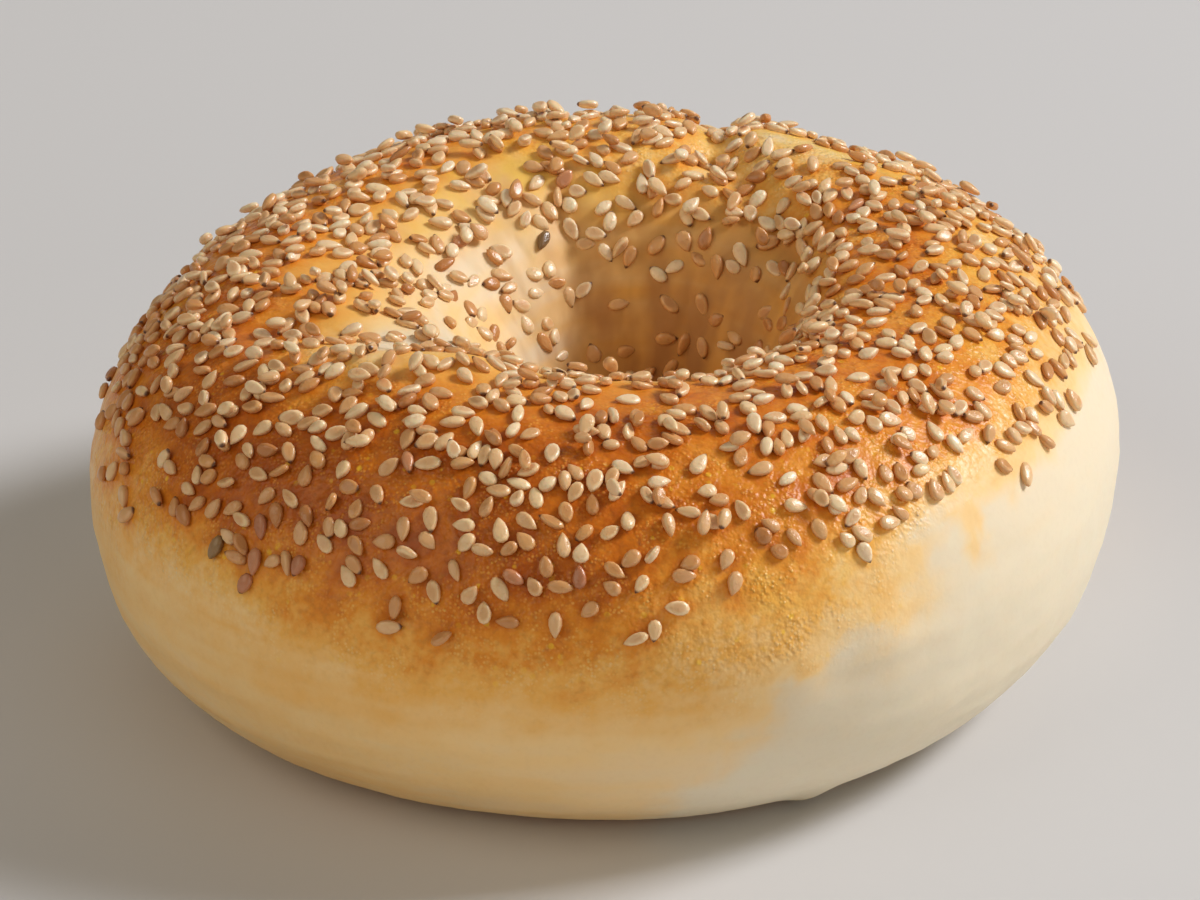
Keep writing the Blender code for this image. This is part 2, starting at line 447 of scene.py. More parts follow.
@dataclass(frozen=True)
class Oven:
    """Where the oven baked the ring: brown on top, white low on the right and pale inside the hole, with
    painted shade on the hole's wall away from the key light.

    Each middle is the angle round the hole, in degrees, where what it names is strongest, and the
    clouds and noises are so many to a metre.
    """

    white_middle: float = 338.0
    front_middle: float = 272.0
    left_middle: float = 188.0
    brown_middle: float = 245.0
    shadow_middle: float = 214.0
    hole_shade_middle: float = 10.0
    broad_clouds: float = 42.0
    fine_clouds: float = 230.0
    egg_clouds: float = 150.0
    blister_clouds: float = 210.0
    foot_brown: float = 0.58
    foot_height: float = 1.2 * MM
    blister: Patch = Patch(299.0, 17.0, 9.0, 11.0, 0.5)

    def outside(self, angle: Field, turn: Field) -> tuple[Field, Field]:
        """How the top and the outer side are baked.

        Args:
            angle: the angle round the hole.
            turn: the turn round the section.

        Returns:
            How baked a place is, and how white the dough stayed below the crust on the right, whiter towards
            the foot partly as painted bounce light from the floor.
        """
        away = angle - radians(self.white_middle) + turn.climb(14.0, -50.0) * radians(14.0)
        away = away.maths("WRAP", pi, -pi)
        white = away.climb(-50.0, -42.0) * away.climb(60.0, 30.0)
        whitest = away.maths("COSINE").rise(0.80, 0.96)
        front = angle.facing(self.front_middle).rise(0.76, 1.0)
        left = angle.facing(self.left_middle).rise(0.84, 1.0)
        shadow = angle.facing(self.shadow_middle).rise(0.40, 1.0)
        top = angle.facing(self.brown_middle) * 0.19 + 0.61
        start = radians(-2.0) - (front + left) * radians(12.0)
        start = start + white * radians(18.0) + whitest * radians(9.0)
        full = radians(44.0) - front * radians(10.0) + white * radians(16.0)
        baked = (1.0 - white) * (0.12 + shadow * 0.07) + turn.rise(start, full) * (top - 0.14)
        baked = baked + white * turn.rise(start, start + radians(10.0)) * 0.12
        # The white share grows towards the foot, partly as painted bounce light from the floor.
        return baked, white * turn.rise(start + radians(12.0), start - radians(32.0))

    def inside(self, angle: Field, turn: Field, cloud: Field) -> tuple[Field, Field, Field]:
        """How the wall of the hole is baked.

        Args:
            angle: the angle round the hole.
            turn: the turn round the section.
            cloud: broad noise.

        Returns:
            Whether a place is in the hole, how baked it is there (browner on the wall away from the key
            light, partly painted shade), and how far painted shade darkens that wall.
        """
        side = angle.facing(self.hole_shade_middle)
        # Painted shade: the wall of the hole away from the key light is browner, and lower down it darkens
        # towards a dull tan.
        shaded_wall = side.rise(-0.50, 0.40)
        within = turn.rise(shaded_wall * radians(36.0) + radians(64.0), shaded_wall * radians(18.0) + radians(112.0))
        rim = turn.climb(128.0, 96.0) * 0.26
        baked = 0.11 + shaded_wall * 0.25 + cloud * 0.14 + rim * (1.0 - shaded_wall)
        return within, baked, side.rise(-0.88, 0.20) * turn.climb(100.0, 126.0)

    def bake(self, sheet: Sheet, place: Field, rise: Field, lean: Field) -> dict[str, Field]:
        """How the skin is baked at a place.

        Args:
            sheet: the tree under construction.
            place: object coordinates.
            rise: sine of the turn round the section.
            lean: cosine of that turn.

        Returns:
            Shares from 0 to 1: baked from pale dough to brown, yellow with egg wash, skin where the
            crust is hard, glaze where it blistered, how white the dough stayed (whiter towards the foot,
            partly as painted bounce light), and painted shade deep in the hole, darker towards the bottom.
        """
        x, y, z = place.xyz()
        drift, sway, cloud = sheet.clouds(place, self.broad_clouds, 4.0, 0.6)
        fine_drift, fine_sway, mottle = sheet.clouds(place, self.fine_clouds, 3.0, 0.6)
        pleats = sheet.noise(sheet.stretched(place, 240.0, 30.0), 1.0) - 0.5
        wisps = sheet.noise(sheet.stretched(place, 40.0, 400.0), 1.0, 3.0, 0.6) - 0.5
        angle = y.maths("ARCTAN2", x) + drift * 0.36 + fine_drift * 0.14
        turn = rise.maths("ARCTAN2", lean) + sway * 0.34 + fine_sway * 0.28
        outer, raw = self.outside(angle, turn)
        within, inner, deep = self.inside(angle, turn, cloud)
        skin = (outer.rise(0.12, 0.45) * (1.0 - within) + self.blister.mask(angle, turn)).clamp()
        share = outer.towards(inner, within).towards(self.foot_brown, z.rise(self.foot_height, 0.1 * MM))
        share = share + cloud * (0.06 + skin * 0.44) + mottle * (0.06 + skin * 0.54)
        share = share + wisps * (0.12 + outer.rise(0.13, 0.24) * (1.0 - skin) * 0.46)
        share = share + sum(patch.mask(angle, turn) for patch in BAKED_PATCHES)
        yellow = sum(patch.mask(angle, turn) for patch in YELLOW_PATCHES).clamp() * share.rise(0.02, 0.20)
        yellow = yellow * sheet.noise(place, self.egg_clouds, 3.0, 0.6).rise(0.42, 0.62)
        glaze = sheet.noise(place, self.blister_clouds, 3.0, 0.6).rise(0.40, 0.60) * skin
        raw = raw * (1.0 - skin) * (0.75 + cloud * 1.2 + pleats * 0.9).clamp()
        # Painted shade on the hole's wall away from the key light, streaked, and darker towards the bottom of
        # the hole.
        deep = deep * (0.78 + pleats * 2.4 + mottle * 0.9 + cloud).clamp()
        deep = deep * (1.0 + turn.climb(128.0, 165.0) * 0.5)
        return {"baked": share.clamp(), "yellow": yellow, "skin": skin, "glaze": glaze, "raw": raw,
                "deep": deep}


@dataclass
class Ring:
    """The hand-formed ring of dough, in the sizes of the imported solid.

    The pairs of numbers say how square each quarter of the section is, across and upwards.
    """

    outer_radius: float = 59.0 * MM
    crest_radius: float = 34.5 * MM
    crest_height: float = 46.2 * MM
    widest_height: float = 22.6 * MM
    foot_cut: float = 1.0 * MM
    throat_radius: float = 13.5 * MM
    throat_shift: float = 4.0 * MM
    throat_height: float = 19.0 * MM
    outer_top: Pair = (1.90, 1.97)
    outer_foot: Pair = (2.36, 2.30)
    inner_top_left: Pair = (2.00, 2.20)
    inner_top_right: Pair = (2.80, 2.20)
    inner_foot: Pair = (2.30, 2.20)
    outline_waves: tuple = ((2, -0.06, 1.75), (3, 0.06, -0.25), (4, -0.13, 0.58))
    crest_waves: tuple = ((1, -0.59, -0.48),)
    height_waves: tuple = ((1, -0.12, 0.02), (2, -0.43, 0.42))
    lump_waves: tuple = ((3, 2, 0.35), (5, 3, 0.22), (8, 4, 0.14))
    dent_depth: float = 0.90 * MM
    wrinkle_depth: float = 0.60 * MM
    pebble_depth: float = 0.30 * MM
    pleat_depth: float = 0.90 * MM
    dents: tuple[Patch, ...] = (
        Patch(297.5, -62.0, 3.0, 9.0, 0.7 * MM), Patch(301.0, 8.0, 5.0, 8.0, 0.5 * MM),
        Patch(291.0, 2.0, 3.0, 9.0, 0.4 * MM), Patch(247.0, 19.0, 1.6, 2.2, -0.8 * MM))
    strokes: tuple[Stroke, ...] = (
        Stroke((15.0, 56.0), (12.2, 32.0), 3.4, -1.6), Stroke((12.2, 32.0), (20.0, 12.0), 3.4, -1.9),
        Stroke((18.0, 33.0), (29.0, 25.0), 5.6, 1.2), Stroke((-38.0, -14.0), (-19.0, -18.5), 3.4, -1.4),
        Stroke((-27.0, -25.8), (-15.0, -26.2), 2.6, 1.1), Stroke((-6.0, 23.0), (-3.0, 12.0), 2.6, -1.1))
    oven: Oven = Oven()
    steps_round: int = 470
    steps_section: int = 208
    seam: float = 0.002 * MM
    shift: Vector = field(default_factory=Vector)

    def waves(self, angle: Field, waves: tuple) -> Field:
        """Sum of waves round the hole.

        Args:
            angle: the angle round the hole.
            waves: (waves round the hole, cosine part, sine part) of each, the parts in millimetres.

        Returns:
            The sum in metres.
        """
        parts = []
        for order, cosine, sine in waves:
            turned = angle * order
            parts += [turned.maths("COSINE") * (cosine * MM), turned.maths("SINE") * (sine * MM)]
        return sum(parts)

    def section(self, angle: Field, turn: Field) -> tuple[Field, Field]:
        """Radius and height of the smooth ring.

        Args:
            angle: the angle round the hole.
            turn: the turn round the section.

        Returns:
            Distance from the hole's axis, and height.
        """
        lean, rise = turn.maths("COSINE"), turn.maths("SINE")
        outside, upper = lean.maths("GREATER_THAN", 0.0), rise.maths("GREATER_THAN", 0.0)
        crest = self.waves(angle, self.crest_waves) + self.crest_radius
        top = self.waves(angle, self.height_waves) + self.crest_height
        outer_reach = self.waves(angle, self.outline_waves) + self.outer_radius - crest
        inner_reach = crest - angle.maths("COSINE") * self.throat_shift - self.throat_radius
        reach = inner_reach.towards(outer_reach, outside)
        middle = outside.even(self.throat_height).towards(self.widest_height, outside)
        right = angle.maths("COSINE") * 0.5 + 0.5
        powers = []
        for index in (0, 1):
            inner_top = right * (self.inner_top_right[index] - self.inner_top_left[index])
            inner_top = inner_top + self.inner_top_left[index]
            inner = inner_top.even(self.inner_foot[index]).towards(inner_top, upper)
            outer = upper.even(self.outer_foot[index]).towards(self.outer_top[index], upper)
            powers.append(2.0 / inner.towards(outer, outside))
        across = lean.maths("ABSOLUTE").maths("POWER", powers[0])
        along = rise.maths("ABSOLUTE").maths("POWER", powers[1])
        radius = crest + reach * across * (outside * 2.0 - 1.0)
        above = (middle * -1.0 - self.foot_cut).towards(top - middle, upper)
        return radius, (middle + above * along).maths("MAXIMUM", 0.0)

    def lumps(self, angle: Field, turn: Field) -> Field:
        """The low waves of hand-rolled dough."""
        return sum((angle * around + across).maths("SINE") * (turn * across + around).maths("COSINE")
                   * (size * MM) for around, across, size in self.lump_waves)

    def skin(self, sheet: Sheet, place: Field, rise: Field, lean: Field) -> Field:
        """Fine relief of the skin: wrinkles round the side, dents on the top and pleats down the hole.

        Args:
            sheet: the tree under construction.
            place: the position.
            rise: 1 on the crest, 0 half way down, -1 on the foot.
            lean: 1 on the outer side, -1 in the hole.

        Returns:
            Height to add along the normal.
        """
        dents = (sheet.noise(place, 95.0, 3.0) - 0.5) * self.dent_depth
        wrinkles = sheet.noise(sheet.stretched(place, 60.0, 330.0), 1.0, 3.0, 0.55) - 0.5
        wrinkles = wrinkles * self.wrinkle_depth
        pebbles = (sheet.noise(place, 420.0) - 0.5) * self.pebble_depth
        pleats = (sheet.noise(sheet.stretched(place, 230.0, 45.0), 1.0) - 0.5) * self.pleat_depth
        top = rise.rise(0.1, 0.6)
        return dents * 0.6 + wrinkles * (1.0 - top) + pebbles * top + pleats * lean.rise(-0.3, -0.8)

    def creased(self, sheet: Group, ring: Field) -> Field:
        """Mark how the closed ring is baked, and push its points by its creases, lumps and skin.

        Args:
            sheet: the tree under construction.
            ring: the smooth ring.

        Returns:
            The finished form.
        """
        place = sheet.value("GeometryNodeInputPosition")
        x, y, z = place.xyz()
        rise, lean = sheet.named("rise"), sheet.named("lean")
        angle, turn = y.maths("ARCTAN2", x), rise.maths("ARCTAN2", lean)
        creases = sum(stroke.field(x, y) for stroke in self.strokes)
        dents = sum(dent.mask(angle, turn) for dent in self.dents)
        off_foot = (z / self.widest_height).maths("MINIMUM", 1.0)
        height = (creases * (rise * 2.5).clamp() + self.lumps(angle, turn) * off_foot + dents
                  + self.skin(sheet, place, rise, lean) * z.rise(0.2 * MM, 3.0 * MM))
        offset = sheet.scaled(sheet.value("GeometryNodeInputNormal"), height)
        ring = sheet.store(ring, self.oven.bake(sheet, place, rise, lean))
        return sheet.value("GeometryNodeSetPosition", {"Geometry": ring, "Offset": offset})

    def group(self) -> NodeTree:
        """Build the Geometry Nodes group that rolls a grid into the ring.

        Returns:
            The group.
        """
        sheet = Group("Ring of dough", "GeometryNodeTree")
        round_steps = sheet.entry("Steps round the hole", "Int", self.steps_round)
        section_steps = sheet.entry("Steps round the section", "Int", self.steps_section)
        crust = sheet.entry("Crust", "Material")
        grid = sheet.value("GeometryNodeMeshGrid", {
            "Size X": 1.0, "Size Y": 1.0,
            "Vertices X": round_steps + 1.0, "Vertices Y": section_steps + 1.0}, "Mesh")
        x, y, _ = sheet.value("GeometryNodeInputPosition").xyz()
        angle, turn = (x + 0.5) * tau, (y + 0.5) * tau
        radius, height = self.section(angle, turn)
        where = sheet.value("ShaderNodeCombineXYZ", {
            "X": radius * angle.maths("COSINE"), "Y": radius * angle.maths("SINE"), "Z": height})
        marked = sheet.store(grid, {"rise": turn.maths("SINE"), "lean": turn.maths("COSINE")})
        rolled = sheet.value("GeometryNodeSetPosition", {"Geometry": marked, "Position": where})
        closed = sheet.value("GeometryNodeMergeByDistance", {"Geometry": rolled, "Distance": self.seam})
        smooth = sheet.value("GeometryNodeSetShadeSmooth", {"Geometry": self.creased(sheet, closed)})
        return sheet.finish(smooth, crust)

    def build(self, crust: Material) -> Object:
        """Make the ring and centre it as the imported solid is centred.

        Args:
            crust: the crust's material.

        Returns:
            The ring.
        """
        ring = grow("ring_of_dough", bpy.data.meshes.new("grid"), self.group(), {"Crust": crust})
        places = column(ring.data.vertices, "co", 3)
        middle = (places.min(axis=0) + places.max(axis=0)) / 2.0
        self.shift = Vector((-middle[0], -middle[1], -places[:, 2].min()))
        ring.data.transform(Matrix.Translation(self.shift))
        return ring


# Seeds

class SeedKind(Enum):
    """The kinds of seed on the crust, with the share of all seeds that each one is."""

    HULLED = 0.856
    TOASTED = 0.14
    DARK = 0.004
    OLIVE = 0.0


@dataclass(frozen=True)
class SeedSizes:
    """Middle sizes of one sesame seed, and how much they vary."""

    length: float = 2.70 * MM
    width: float = 1.58 * MM
    thickness: float = 1.04 * MM
    spread: float = 0.10
    most_spread: float = 0.2


@dataclass
class Seed:
    """One seed as it lies, with size factors, its tone from pale to toasted (with painted shade added for
    where it lies), a dark tip and a form.
    """

    kind: SeedKind
    place: Vector
    facing: Euler
    size: Vector
    tone: float
    tip: float
    form: int


@dataclass
class Spots:
    """Places on the ring: points, normals, angles round the hole and turns round the section in degrees."""

    point: np.ndarray
    normal: np.ndarray
    angle: np.ndarray
    turn: np.ndarray


def scatter(mesh: Mesh, count: int, draw: np.random.Generator) -> Spots:
    """Random places on the ring, even over its area.

    Args:
        mesh: the ring's mesh.
        count: how many places.
        draw: the random draw.

    Returns:
        The places.
    """
    mesh.calc_loop_triangles()
    corners = column(mesh.loop_triangles, "vertices", 3, np.int32)
    values = np.column_stack([column(mesh.vertices, "co", 3), column(mesh.vertex_normals, "vector", 3),
                              column(mesh.attributes["rise"].data, "value"),
                              column(mesh.attributes["lean"].data, "value")])
    first, second, third = (values[corners[:, index], :3] for index in range(3))
    area = np.linalg.norm(np.cross(second - first, third - first), axis=1)
    picked = corners[draw.choice(len(corners), count, p=area / area.sum())]
    one, two = np.sqrt(draw.random(count)), draw.random(count)
    weights = np.stack([1.0 - one, one * (1.0 - two), one * two], axis=1)
    found = (values[picked] * weights[:, :, None]).sum(axis=1)
    point, normal = found[:, :3], found[:, 3:6]
    return Spots(point, normal / np.linalg.norm(normal, axis=1)[:, None],
                 np.degrees(np.arctan2(point[:, 1], point[:, 0])),
                 np.degrees(np.arctan2(found[:, 6], found[:, 7])))


@dataclass
class Sowing:
    """Where the seeds lie on the ring, laid one after another so that none cuts another.

    Three discs along a seed stand for its outline: (place along it, radius), as shares of its length
    and width. Listed seeds are (angle, turn, kind), and bare places (angle, turn, how wide, how
    tall, share of seeds missing), all angles in degrees.
    """

    sizes: SeedSizes = SeedSizes()
    seed: int = 11
    tries: int = 26000
    most: int = 1700
    spins: int = 6
    cell: float = 3.0 * MM
    closeness: float = 0.93
    held_within: float = 1.3
    discs: tuple = ((-0.22, 0.43), (0.06, 0.42), (0.33, 0.24))
    form_shares: tuple = (0.42, 0.38, 0.20)
    # Share of seeds on the hole's wall away from the key light given the toasted hull, as painted shade.
    hole_shade_toasted_share: float = 0.6
    stacked_share: float = 0.30
    stacked_turns: tuple = (45.0, 125.0)
    stacked_lift: float = 0.85
    on_edge_share: float = 0.06
    on_edge_roll: float = radians(55.0)
    on_edge_lift: float = 0.18
    roll: float = radians(13.0)
    pitch: float = radians(7.0)
    stacked_pitch: float = radians(14.0)
    sunk: tuple = (0.08, 0.26)
    hole_sunk: tuple = (0.42, 0.66)
    hole_radius: float = 26.0 * MM
    hole_height: float = 40.0 * MM
    tip_share: float = 0.32
    hole_tip_share: float = 0.55
    # How much the seeds darken the crust round them: partly glaze, partly painted contact shade.
    glaze_and_shade_share: float = 0.6
    hand_laid: tuple = (
        (112.3, 128.8, SeedKind.OLIVE), (141.7, 118.6, SeedKind.DARK), (223.4, 24, SeedKind.OLIVE),
        (228.4, 24.5, SeedKind.DARK), (227.4, 17.1, SeedKind.DARK), (227.5, 32.8, SeedKind.DARK),
        (243.2, 59.8, SeedKind.DARK), (259.2, 31.3, SeedKind.DARK))
    bare: tuple = (
        (217, 100, 9, 13, 0.95), (203, 96, 8, 7, 0.70), (52, 78, 17, 13, 0.97),
        (275, 60, 6, 7, 0.60), (318, 30, 6, 8, 0.50), (205, 40, 8, 10, 0.35),
        (285, 98, 8, 7, 0.50), (225, 62, 8, 8, 0.35), (76, 72, 3, 16, 0.90),
        (199, 125, 17, 12, 0.92))
    seeds: list[Seed] = field(default_factory=list)

    def density(self, angle: float, turn: float) -> float:
        """How likely a seed is to lie at a place, from 0 to 1.

        Args:
            angle: the place's angle round the hole, in degrees.
            turn: its turn round the section, in degrees.

        Returns:
            The likelihood.
        """
        if turn < 0.0:
            return 0.0
        right = ramp(cos(radians(angle - 333.0)), 0.45, 0.80)
        low = 13.0 + 16.0 * right
        outer = ramp(turn, low, low + 24.0 - 10.0 * right) ** 0.8
        hole_side = ramp(cos(radians(angle - 10.0)), -0.3, 0.2)
        end = 120.0 + 7.0 * hole_side
        inner = 1.0 - ramp(turn, end - 10.0, end + 10.0)
        deep = (0.46 - 0.20 * hole_side) * ramp(turn, 100.0, 120.0) * (1.0 - ramp(turn, 155.0, 180.0))
        share = outer * inner * (0.62 + 0.38 * ramp(turn, 38.0, 64.0)) + deep
        for middle, across, wide, tall, less in self.bare:
            off = (angle - middle + 180.0) % 360.0 - 180.0
            share *= 1.0 - less * float(np.exp(-((off / wide) ** 2 + ((turn - across) / tall) ** 2)))
        return share

    def sow(self, ring: Object) -> None:
        """Lay the seeds on the ring, first those listed one by one.

        Args:
            ring: the ring of dough.
        """
        draw = np.random.default_rng(self.seed)
        spots = scatter(ring.data, self.tries, draw)
        kinds = list(SeedKind)
        shares = [kind.value for kind in kinds]
        laid: dict[tuple, list] = {}
        stacked: dict[tuple, list] = {}
        for angle, turn, kind in self.hand_laid:
            gap = np.abs((spots.angle - angle + 180.0) % 360.0 - 180.0) + np.abs(spots.turn - turn)
            nearest = int(gap.argmin())
            self.try_seed(spots.point[nearest], spots.normal[nearest], laid, False, draw, kind)
        lowest, highest = self.stacked_turns
        for point, normal, angle, turn in zip(spots.point, spots.normal, spots.angle, spots.turn):
            if len(self.seeds) >= self.most:
                break
            if draw.random() > self.density(angle, turn):
                continue
            on_top = draw.random() < self.stacked_share and lowest < turn < highest
            on_top = on_top and self.is_held(point, laid)
            kind = kinds[draw.choice(len(kinds), p=shares)]
            # On the hole's wall away from the key light, most seeds take the toasted hull as painted shade.
            if turn > 122.0 and cos(radians(angle - 10.0)) > 0.4 and draw.random() < self.hole_shade_toasted_share:
                kind = SeedKind.TOASTED
            self.try_seed(point, normal, stacked if on_top else laid, on_top, draw, kind)
        LOG.info("sowed %d seeds", len(self.seeds))

    def glaze_and_shade_round_seeds(self, ring: Object) -> None:
        """Mark how thickly seeds lie round each point of the ring, for the darker crust round them: partly
        glaze that gathers there, partly painted contact shade.

        Args:
            ring: the ring of dough.
        """
        tree = KDTree(len(ring.data.vertices))
        for vertex in ring.data.vertices:
            tree.insert(vertex.co, vertex.index)
        tree.balance()
        marks = np.zeros(len(ring.data.vertices))
        reach = self.sizes.length
        for seed in self.seeds:
            for _, index, gap in tree.find_range(seed.place, reach):
                marks[index] += (1.0 - (gap / reach) ** 2) ** 2
        sown = ring.data.attributes.new("sown", "FLOAT", "POINT")
        sown.data.foreach_set("value", np.minimum(marks * self.glaze_and_shade_share, 1.0))

    def try_seed(self, point: np.ndarray, normal: np.ndarray, taken: dict, on_top: bool,
                 draw: np.random.Generator, kind: SeedKind) -> None:
        """Lay one seed if some facing leaves it clear of its neighbours.

        Args:
            point: the place on the crust.
            normal: the crust's normal there.
            taken: discs of the seeds already laid in this layer, by grid cell.
            on_top: whether the seed lies on others.
            draw: the random draw.
            kind: its kind.
        """
        most = self.sizes.most_spread
        size = 1.0 + draw.normal(0.0, self.sizes.spread, 3).clip(-most, most)
        length, width = self.sizes.length * size[0], self.sizes.width * size[1]
        first = np.cross(normal, (0.31, 0.52, 0.79))
        first /= np.linalg.norm(first)
        second = np.cross(normal, first)
        for _ in range(self.spins):
            spin = draw.uniform(0.0, tau)
            axis = first * cos(spin) + second * sin(spin)
            discs = [(point + axis * length * offset, width * share) for offset, share in self.discs]
            if self.is_clear(discs, taken):
                break
        else:
            return
        for centre, reach in discs:
            taken.setdefault(tuple((centre // self.cell).astype(int)), []).append((centre, reach))
        self.seeds.append(self.settle(point, normal, axis, size, on_top, draw, kind))

    def neighbours(self, point: np.ndarray, taken: dict) -> Iterator[tuple[np.ndarray, float]]:
        """Discs in the grid cells round a point.

        Args:
            point: the point.
            taken: discs by grid cell.

        Yields:
            Each disc's centre and radius.
        """
        cell = (point // self.cell).astype(int)
        for shift in np.ndindex(3, 3, 3):
            yield from taken.get(tuple(cell + np.array(shift) - 1), ())

    def is_clear(self, discs: list, taken: dict) -> bool:
        """Whether a seed's discs keep clear of the discs already laid."""
        return not any(np.sum((centre - other) ** 2) < (self.closeness * (reach + other_reach)) ** 2
                       for centre, reach in discs for other, other_reach in self.neighbours(centre, taken))

    def is_held(self, point: np.ndarray, laid: dict) -> bool:
        """Whether a seed already laid lies under a place, so that another one can rest on it."""
        return any(np.sum((point - other) ** 2) < (self.held_within * reach) ** 2
                   for other, reach in self.neighbours(point, laid))

    def shade(self, point: np.ndarray, in_hole: bool) -> float:
        """How much more toasted a seed is painted for where it lies: partly glaze on the low front left,
        partly painted shade on the front left away from the key light, in the hole, and on the right where
        the key light falls strongest.

        Args:
            point: its place.
            in_hole: whether that is in the hole.

        Returns:
            What to add to its tone.
        """
        low = 1.0 - ramp(point[2], 30.0 * MM, 45.0 * MM)
        around = atan2(point[1], point[0])
        front_left, right = max(cos(around - radians(218.0)), 0.0), max(cos(around), 0.0)
        within = (0.12 if point[0] < 0.0 else 0.02) if in_hole else 0.0
        return within + (0.22 + 0.36 * low) * front_left + 0.14 * right ** 2

    def settle(self, point: np.ndarray, normal: np.ndarray, axis: np.ndarray, size: np.ndarray,
               on_top: bool, draw: np.random.Generator, kind: SeedKind) -> Seed:
        """Tilt and lift a seed as it lies.

        Args:
            point: the place on the crust.
            normal: the crust's normal.
            axis: the seed's long direction.
            size: its size factors.
            on_top: whether it lies on others.
            draw: the random draw.
            kind: its kind.

        Returns:
            The seed.
        """
        basis = Matrix((axis, np.cross(normal, axis), normal)).transposed()
        in_hole = hypot(point[0], point[1]) < self.hole_radius and point[2] < self.hole_height
        on_edge = draw.random() < self.on_edge_share
        roll = draw.normal(0.0, self.roll) + (draw.choice((-1, 1)) * self.on_edge_roll if on_edge else 0.0)
        pitch = draw.normal(0.0, self.stacked_pitch if on_top else self.pitch)
        sunk = draw.uniform(*(self.hole_sunk if in_hole else self.sunk))
        thickness = self.sizes.thickness * size[2]
        lift = thickness * (0.5 - sunk) + (thickness * self.stacked_lift if on_top else 0.0)
        lift += self.on_edge_lift * self.sizes.width * abs(sin(roll)) if on_edge else 0.0
        turned = basis @ Matrix.Rotation(pitch, 3, "Y") @ Matrix.Rotation(roll, 3, "X")
        tone = float(draw.beta(1.2, 1.9)) + self.shade(point, in_hole)
        tip = float(draw.random() < (self.hole_tip_share if in_hole else self.tip_share))
        form = int(draw.choice(len(self.form_shares), p=self.form_shares))
        return Seed(kind, Vector(point + normal * lift), turned.to_euler(), Vector(size), tone, tip, form)


@dataclass
class Seeds:
    """The seeds of one kind, made as one mesh by Geometry Nodes from their places.

    Each form is (how far the middle of a seed's faces sinks in, how pointed it is).
    """

    kind: SeedKind
    sizes: SeedSizes = SeedSizes()
    sides: int = 12
    rings: int = 6
    forms: tuple = ((0.08, 0.24), (0.55, 0.42), (0.25, 0.66))
    unevenness: float = 0.10 * MM

    def points(self, seeds: list[Seed]) -> Mesh:
        """Put the seeds' places in a mesh of loose points.

        Args:
            seeds: the seeds.

        Returns:
            The mesh.
        """
        mesh = bpy.data.meshes.new("places of seeds")
        mesh.from_pydata([seed.place for seed in seeds], [], [])
        for name, kind in (("facing", "FLOAT_VECTOR"), ("size", "FLOAT_VECTOR"), ("tone", "FLOAT"),
                           ("tip", "FLOAT"), ("form", "INT")):
            attribute = mesh.attributes.new(name, kind, "POINT")
            entry = "vector" if kind == "FLOAT_VECTOR" else "value"
            attribute.data.foreach_set(entry, np.array([getattr(seed, name) for seed in seeds]).ravel())
        return mesh

    def drop(self, sheet: Group, hollow: float, point: float) -> Field:
        """One seed: a flat drop along +X, pointed at its +X end.

        Args:
            sheet: the tree under construction.
            hollow: how far the middle of its faces sinks in.
            point: how pointed it is, 0 for an oval.

        Returns:
            The seed as an instance.
        """
        ball = sheet.value("GeometryNodeMeshUVSphere",
                           {"Segments": self.sides, "Rings": self.rings, "Radius": 1.0}, "Mesh")
        along, across, up = sheet.value("GeometryNodeInputPosition").xyz()
        reach = (along * along + across * across).maths("SQRT")
        tail = ((1.0 - along / (reach + 0.0001)) * 0.5).clamp().maths("POWER", point / 2.0)
        rounder = reach.maths("POWER", 0.8)
        dome = up.maths("ABSOLUTE").maths("POWER", 0.76) * up.maths("SIGN")
        sunk = 1.0 - reach.rise(0.62, 0.0) * hollow
        thin = 1.0 - along.clamp() * 0.35
        where = sheet.value("ShaderNodeCombineXYZ", {
            "X": along / (reach + 0.0001) * rounder * (self.sizes.length / 2.0),
            "Y": across / (reach + 0.0001) * rounder * tail * (1.0 + 0.30 * point) * (self.sizes.width / 2.0),
            "Z": dome * sunk * thin * (self.sizes.thickness / 2.0)})
        marked = sheet.store(ball, {"along": along, "rim": reach, "hollow": hollow})
        shaped = sheet.value("GeometryNodeSetPosition", {"Geometry": marked, "Position": where})
        smooth = sheet.value("GeometryNodeSetShadeSmooth", {"Geometry": shaped})
        return sheet.value("GeometryNodeGeometryToInstance", {0: smooth})

    def group(self) -> NodeTree:
        """Build the group that sets a seed on each point and bends each one a little.

        Returns:
            The group.
        """
        sheet = Group("Sesame seeds " + self.kind.name.lower(), "GeometryNodeTree")
        points = sheet.entry("Points", "Geometry")
        hull = sheet.entry("Hull", "Material")
        uneven = sheet.entry("Unevenness", "Float", self.unevenness)
        forms = place_node(sheet.tree, "GeometryNodeJoinGeometry")
        for hollow, point in self.forms:
            feed(forms, {0: self.drop(sheet, hollow, point)})
        spread = sheet.value("GeometryNodeInstanceOnPoints", {
            "Points": points, "Instance": Field(forms.outputs[0]), "Pick Instance": True,
            "Instance Index": sheet.named("form", "INT"), "Rotation": sheet.named("facing", "FLOAT_VECTOR"),
            "Scale": sheet.named("size", "FLOAT_VECTOR")})
        real = sheet.value("GeometryNodeRealizeInstances", {0: spread})
        cloud = sheet.noise(sheet.value("GeometryNodeInputPosition"), 420.0, 1.0, output=1)
        shifted = sheet.value("ShaderNodeVectorMath", {0: cloud, 1: (0.5, 0.5, 0.5)}, operation="SUBTRACT")
        offset = sheet.scaled(shifted, uneven * 2.0)
        bent = sheet.value("GeometryNodeSetPosition", {"Geometry": real, "Offset": offset})
        return sheet.finish(bent, hull)

    def build(self, seeds: list[Seed], hull: Material) -> Object:
        """Make one mesh of the seeds of this kind, out of those of every kind."""
        own = [seed for seed in seeds if seed.kind is self.kind]
        return grow("sesame_" + self.kind.name.lower(), self.points(own), self.group(), {"Hull": hull})


# Finishes

